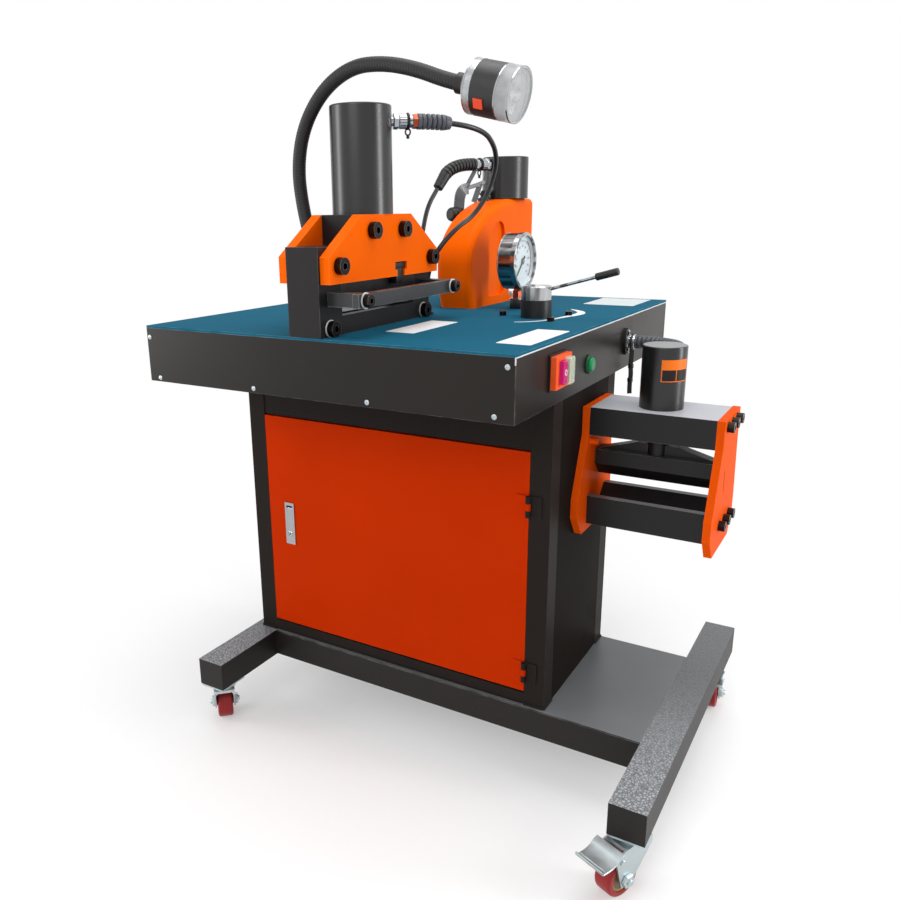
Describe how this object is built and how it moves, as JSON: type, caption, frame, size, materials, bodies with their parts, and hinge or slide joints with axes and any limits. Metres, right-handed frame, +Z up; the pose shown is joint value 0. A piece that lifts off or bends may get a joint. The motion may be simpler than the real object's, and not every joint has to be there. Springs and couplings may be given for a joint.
{
  "type": "busbar processing machine",
  "caption": "Wheeled steel bench for working busbar, with a hydraulic shear and punch on its table and a bender on its side.",
  "frame": {"origin": "on the floor, in the middle of the four caster swivel axes", "axes": "+X to the right along the front, +Y to the back, +Z up"},
  "size_m": [0.957, 0.862, 1.214],
  "materials": {
    "hammered_black": "hammered black paint",
    "skirt_charcoal": "fine textured charcoal paint",
    "worktop_teal": "satin teal paint",
    "orange_plate": "gloss orange paint",
    "orange_casting": "gloss orange paint on cast iron",
    "door_orange": "gloss orange-red paint",
    "zinc": "bright zinc plate",
    "wheel_red": "cast red tyre on a tan core",
    "latch_chrome": "polished",
    "tank_grey": "satin paint",
    "motor_alloy": "cast alloy",
    "ground_steel": "ground steel",
    "cylinder_grey": "dark satin grey",
    "bar_grey": "grey paint",
    "gauge_steel": "polished case",
    "gauge_pane": "clear",
    "needle_black": "matt black",
    "valve_black": "satin black",
    "valve_chrome": "polished",
    "grip_black": "matt",
    "switch_orange": "moulded",
    "key_red": "moulded",
    "key_green": "moulded",
    "neck_black": "matt sleeve",
    "lamp_alloy": "turned alloy with a black band",
    "lamp_pane": "clear lens",
    "lamp_key": "moulded",
    "hose_black": "smooth rubber",
    "guard_grey": "ribbed moulding",
    "fitting_steel": "plated",
    "screw_steel": "black oxide steel"
  },
  "bodies": {
    "machine": {"base_frame": "hammered_black", "base_deck": "hammered_black", "bender_plates": "hammered_black", "bender_top_block": "hammered_black", "bender_die": "hammered_black", "cabinet_frame": "hammered_black", "cabinet_panels": "hammered_black", "door_hinge_pins": "hammered_black", "cutter_body": "hammered_black", "table_skirt": "skirt_charcoal", "table_top": "worktop_teal", "cutter_side_plates": "orange_plate", "punch_frame": "orange_casting", "caster_plates": "zinc", "oil_tank": "tank_grey", "motor_housing": "motor_alloy", "cutter_lower_blade": "ground_steel", "punch_die": "ground_steel", "cutter_cylinder": "cylinder_grey", "punch_cylinder": "cylinder_grey", "bender_cylinder": "cylinder_grey", "cutter_guide_bar": "bar_grey", "gauge_case": "gauge_steel", "gauge_glass": "gauge_pane", "valve_body": "valve_black", "switch_housings": "switch_orange", "lamp_neck": "neck_black", "lamp_head": "lamp_alloy", "lamp_lens": "lamp_pane", "cutter_hose": "hose_black", "punch_hose": "hose_black", "hose_guards": "guard_grey", "hydraulic_fittings": "fitting_steel", "cap_screws": "screw_steel"},
    "door": {"door_panel": "door_orange", "latch_case": "latch_chrome"},
    "latch_paddle": {"latch_paddle": "latch_chrome"},
    "motor_rotor": {"motor_rotor": "ground_steel"},
    "cutter_ram": {"cutter_ram": "ground_steel", "cutter_upper_blade": "ground_steel"},
    "punch_ram": {"punch_ram": "ground_steel"},
    "bender_beam": {"bender_beam": "hammered_black"},
    "gauge_needle": {"gauge_needle": "needle_black"},
    "valve_lever": {"valve_lever": "valve_chrome", "lever_grip": "grip_black"},
    "stop_button": {"stop_button": "key_red"},
    "start_button": {"start_button": "key_green"},
    "pump_button": {"pump_button": "key_green"},
    "lamp_button": {"lamp_button": "lamp_key"},
    "caster_front_right": {"caster_fork_front_right": "zinc"},
    "wheel_front_right": {"caster_wheel_front_right": "wheel_red"},
    "pedal_front_right": {"brake_pedal_front_right": "zinc"},
    "caster_front_left": {"caster_fork_front_left": "zinc"},
    "wheel_front_left": {"caster_wheel_front_left": "wheel_red"},
    "pedal_front_left": {"brake_pedal_front_left": "zinc"},
    "caster_rear_right": {"caster_fork_rear_right": "zinc"},
    "wheel_rear_right": {"caster_wheel_rear_right": "wheel_red"},
    "pedal_rear_right": {"brake_pedal_rear_right": "zinc"},
    "caster_rear_left": {"caster_fork_rear_left": "zinc"},
    "wheel_rear_left": {"caster_wheel_rear_left": "wheel_red"}
  },
  "joints": [
    {"name": "caster_swivel_front_right", "type": "hinge", "parent": "machine", "child": "caster_front_right", "pos_m": [0.4072, -0.289, 0.083], "axis": [0, 0, 1], "continuous": true},
    {"name": "wheel_spin_front_right", "type": "hinge", "parent": "caster_front_right", "child": "wheel_front_right", "pos_m": [0.39548, -0.31662, 0.0325], "axis": [0.9205, -0.3907, 0], "continuous": true},
    {"name": "brake_pedal_front_right", "type": "hinge", "parent": "caster_front_right", "child": "pedal_front_right", "pos_m": [0.38923, -0.33134, 0.074], "axis": [0.9205, -0.3907, 0], "range_deg": [0, 14]},
    {"name": "caster_swivel_front_left", "type": "hinge", "parent": "machine", "child": "caster_front_left", "pos_m": [-0.4072, -0.289, 0.083], "axis": [0, 0, 1], "continuous": true},
    {"name": "wheel_spin_front_left", "type": "hinge", "parent": "caster_front_left", "child": "wheel_front_left", "pos_m": [-0.42841, -0.26779, 0.0325], "axis": [-0.7071, -0.7071, 0], "continuous": true},
    {"name": "brake_pedal_front_left", "type": "hinge", "parent": "caster_front_left", "child": "pedal_front_left", "pos_m": [-0.43973, -0.25647, 0.074], "axis": [-0.7071, -0.7071, 0], "range_deg": [0, 14]},
    {"name": "caster_swivel_rear_right", "type": "hinge", "parent": "machine", "child": "caster_rear_right", "pos_m": [0.4072, 0.289, 0.083], "axis": [0, 0, 1], "continuous": true},
    {"name": "wheel_spin_rear_right", "type": "hinge", "parent": "caster_rear_right", "child": "wheel_rear_right", "pos_m": [0.40981, 0.25911, 0.0325], "axis": [0.9962, 0.0872, 0], "continuous": true},
    {"name": "brake_pedal_rear_right", "type": "hinge", "parent": "caster_rear_right", "child": "pedal_rear_right", "pos_m": [0.41121, 0.24318, 0.074], "axis": [0.9962, 0.0872, 0], "range_deg": [0, 14]},
    {"name": "caster_swivel_rear_left", "type": "hinge", "parent": "machine", "child": "caster_rear_left", "pos_m": [-0.4072, 0.289, 0.083], "axis": [0, 0, 1], "continuous": true},
    {"name": "wheel_spin_rear_left", "type": "hinge", "parent": "caster_rear_left", "child": "wheel_rear_left", "pos_m": [-0.41597, 0.26031, 0.0325], "axis": [0.9563, -0.2924, 0], "continuous": true},
    {"name": "door_swing", "type": "hinge", "parent": "machine", "child": "door", "pos_m": [0.1716, -0.1539, 0.3], "axis": [0, 0, 1], "range_deg": [0, 110]},
    {"name": "latch_lift", "type": "hinge", "parent": "door", "child": "latch_paddle", "pos_m": [-0.33, -0.1473, 0.4236], "axis": [-1, 0, 0], "range_deg": [0, 35], "stiffness_Nm_per_rad": 0.05, "springref_deg": -28.65},
    {"name": "motor_spin", "type": "hinge", "parent": "machine", "child": "motor_rotor", "pos_m": [0, 0.01, 0.235], "axis": [1, 0, 0], "continuous": true},
    {"name": "cutter_stroke", "type": "slide", "parent": "machine", "child": "cutter_ram", "axis": [0, 0, -1], "range_m": [0, 0.023], "stiffness_N_per_m": 4000, "springref_m": -0.05},
    {"name": "punch_stroke", "type": "slide", "parent": "machine", "child": "punch_ram", "axis": [0, 0, -1], "range_m": [0, 0.046], "stiffness_N_per_m": 1500, "springref_m": -0.04},
    {"name": "bender_stroke", "type": "slide", "parent": "machine", "child": "bender_beam", "axis": [0, 0, -1], "range_m": [0, 0.06], "stiffness_N_per_m": 2000, "springref_m": -0.05},
    {"name": "gauge_sweep", "type": "hinge", "parent": "machine", "child": "gauge_needle", "pos_m": [-0.02, 0.207, 0.884], "axis": [-1, 0, 0], "range_deg": [0, 270], "stiffness_Nm_per_rad": 0.0005, "springref_deg": -28.65},
    {"name": "valve_select", "type": "hinge", "parent": "machine", "child": "valve_lever", "pos_m": [0.0758, 0.089, 0.83], "axis": [0, 0, 1], "range_deg": [-45, 45]},
    {"name": "stop_press", "type": "slide", "parent": "machine", "child": "stop_button", "axis": [-1, 0, 0], "range_m": [0, 0.004], "stiffness_N_per_m": 400, "springref_m": -0.004},
    {"name": "start_press", "type": "slide", "parent": "machine", "child": "start_button", "axis": [-1, 0, 0], "range_m": [0, 0.003], "stiffness_N_per_m": 400, "springref_m": -0.004},
    {"name": "pump_press", "type": "slide", "parent": "machine", "child": "pump_button", "axis": [-1, 0, 0], "range_m": [0, 0.004], "stiffness_N_per_m": 400, "springref_m": -0.004},
    {"name": "lamp_press", "type": "slide", "parent": "machine", "child": "lamp_button", "axis": [0.1388, 0.8192, 0.5565], "range_m": [0, 0.002], "stiffness_N_per_m": 400, "springref_m": -0.004}
  ]
}
